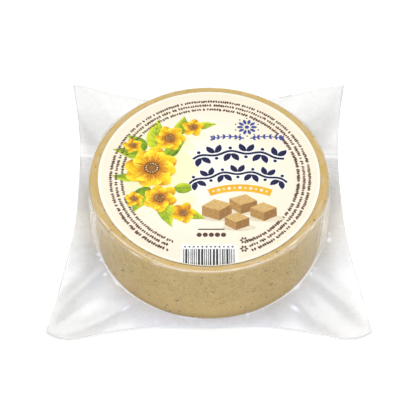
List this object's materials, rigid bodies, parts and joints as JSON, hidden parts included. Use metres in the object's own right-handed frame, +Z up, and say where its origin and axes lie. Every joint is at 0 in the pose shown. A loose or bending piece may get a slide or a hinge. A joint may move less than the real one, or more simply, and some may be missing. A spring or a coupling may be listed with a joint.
{
  "type": "packed halva block",
  "caption": "Round pressed halva block in a clear film pouch with four wrinkled ears, a round printed label on its top.",
  "frame": {"origin": "centre of the round block's footprint, on the surface that the pack lies on", "axes": "+Z up through the label, +X to the right along the longest side, -Y towards the pack's front"},
  "size_m": [0.1485, 0.1435, 0.0394],
  "materials": {
    "halva": "matte, fine-grained, slightly oily",
    "film": "clear thin film with soft folds",
    "label": "smooth coated paper"
  },
  "bodies": {
    "root": {"halva_block": "halva", "film_pouch": "film", "label": "label"}
  },
  "joints": []
}
